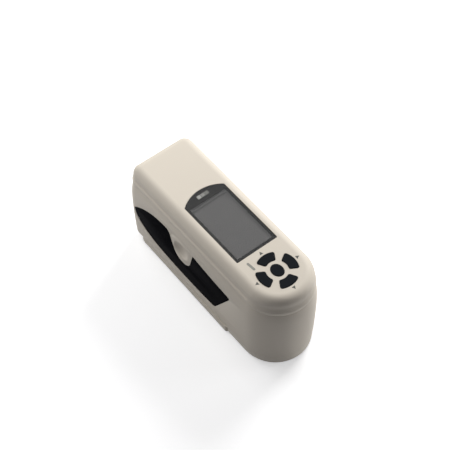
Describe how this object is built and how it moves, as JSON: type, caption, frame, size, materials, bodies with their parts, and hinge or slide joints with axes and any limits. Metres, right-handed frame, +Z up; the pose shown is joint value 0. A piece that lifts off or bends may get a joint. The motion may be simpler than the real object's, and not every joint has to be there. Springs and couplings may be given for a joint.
{
  "type": "portable colorimeter",
  "caption": "Hand-held colorimeter: round measuring tower, arched display window, ring keypad, side thumb key, black grip inlays and a pull-off calibration cap.",
  "frame": {"origin": "centre of the bounding box's footprint, on the surface that the instrument stands on", "axes": "+Z up; -Y towards the round measuring tower and the keypad; +Y towards the square back end with the sockets; +X to the right when seen from the keypad end"},
  "size_m": [0.07, 0.205, 0.1],
  "materials": {
    "warm_plastic": "fine moulded texture, warm grey beige",
    "grip_rubber": "satin black soft-touch coat",
    "key_rubber": "satin charcoal keytops",
    "mat_silicone": "matt grey silicone",
    "foot_rubber": "matt black",
    "window_glass": "clear, polished",
    "window_print": "printed dark border behind the window",
    "display_glass": "grey liquid crystal display, switched off",
    "black_plastic": "fine moulded texture, black",
    "circuit_board": "green solder mask over glass fibre",
    "ribbon_film": "amber film",
    "clear_plastic": "translucent, frosted",
    "screw_steel": "zinc plated",
    "spring_steel": "bright wire",
    "sphere_white": "matt white reflective coating",
    "lens_glass": "clear, polished",
    "tile_ceramic": "white glaze",
    "battery_wrap": "blue shrink wrap",
    "contact_brass": "plated spring strip",
    "lead_insulation": "flexible insulation",
    "socket_steel": "tin plated shell"
  },
  "bodies": {
    "instrument": {"top_cover": "warm_plastic", "main_housing": "warm_plastic", "base_plate": "warm_plastic", "finger_rest": "warm_plastic", "left_grip_inlay": "grip_rubber", "right_grip_inlay": "grip_rubber", "keypad_mat": "mat_silicone", "rubber_feet": "foot_rubber", "display_window": "window_glass", "dust_glass": "window_glass", "display_mask": "window_print", "lcd_panel": "display_glass", "lcd_frame": "black_plastic", "measuring_nose": "black_plastic", "port_panel": "black_plastic", "power_switch_body": "black_plastic", "dc_socket": "black_plastic", "lamp_housing": "black_plastic", "sensor_tube": "black_plastic", "buzzer": "black_plastic", "measure_switch": "black_plastic", "key_switches": "black_plastic", "board_components": "black_plastic", "tower_floor": "black_plastic", "colour_sensor": "black_plastic", "measure_board": "circuit_board", "key_board": "circuit_board", "main_board": "circuit_board", "lamp_board": "circuit_board", "sensor_board": "circuit_board", "port_board": "circuit_board", "display_ribbon": "ribbon_film", "keypad_ribbon": "ribbon_film", "status_light_pipe": "clear_plastic", "status_led": "clear_plastic", "lamp_led": "clear_plastic", "board_screws": "screw_steel", "cover_screws": "screw_steel", "base_screws": "screw_steel", "floor_screws": "screw_steel", "sphere_screws": "screw_steel", "measure_key_spring": "spring_steel", "sphere_lower": "sphere_white", "sphere_upper": "sphere_white", "baffle": "sphere_white", "sensor_lens": "lens_glass", "battery_pack": "battery_wrap", "battery_contacts": "contact_brass", "battery_leads": "lead_insulation", "usb_socket": "socket_steel"},
    "up_key": {"key_up": "key_rubber"},
    "left_key": {"key_left": "key_rubber"},
    "down_key": {"key_down": "key_rubber"},
    "right_key": {"key_right": "key_rubber"},
    "centre_key": {"key_centre": "key_rubber"},
    "thumb_key": {"measure_key": "warm_plastic"},
    "switch_slider": {"power_switch_slider": "black_plastic"},
    "aperture_cap": {"calibration_cap": "black_plastic", "white_tile": "tile_ceramic"},
    "door": {"battery_door": "warm_plastic"}
  },
  "joints": [
    {"name": "up_key_press", "type": "slide", "parent": "instrument", "child": "up_key", "axis": [0, 0, -1], "range_m": [0, 0.0006], "stiffness_N_per_m": 1500, "springref_m": -0.0003},
    {"name": "left_key_press", "type": "slide", "parent": "instrument", "child": "left_key", "axis": [0, 0, -1], "range_m": [0, 0.0006], "stiffness_N_per_m": 1500, "springref_m": -0.0003},
    {"name": "down_key_press", "type": "slide", "parent": "instrument", "child": "down_key", "axis": [0, 0, -1], "range_m": [0, 0.0006], "stiffness_N_per_m": 1500, "springref_m": -0.0003},
    {"name": "right_key_press", "type": "slide", "parent": "instrument", "child": "right_key", "axis": [0, 0, -1], "range_m": [0, 0.0006], "stiffness_N_per_m": 1500, "springref_m": -0.0003},
    {"name": "centre_key_press", "type": "slide", "parent": "instrument", "child": "centre_key", "axis": [0, 0, -1], "range_m": [0, 0.0006], "stiffness_N_per_m": 1500, "springref_m": -0.0003},
    {"name": "thumb_key_press", "type": "slide", "parent": "instrument", "child": "thumb_key", "axis": [1, 0, 0], "range_m": [0, 0.0012], "stiffness_N_per_m": 1200, "springref_m": -0.0006, "deforming": ["measure_key_spring"]},
    {"name": "power_slide", "type": "slide", "parent": "instrument", "child": "switch_slider", "axis": [1, 0, 0], "range_m": [0, 0.003]},
    {"name": "cap_pull", "type": "slide", "parent": "instrument", "child": "aperture_cap", "axis": [0, 0, -1], "range_m": [0, 0.012]},
    {"name": "door_slide", "type": "slide", "parent": "instrument", "child": "door", "axis": [0, 1, 0], "range_m": [0, 0.085]}
  ]
}
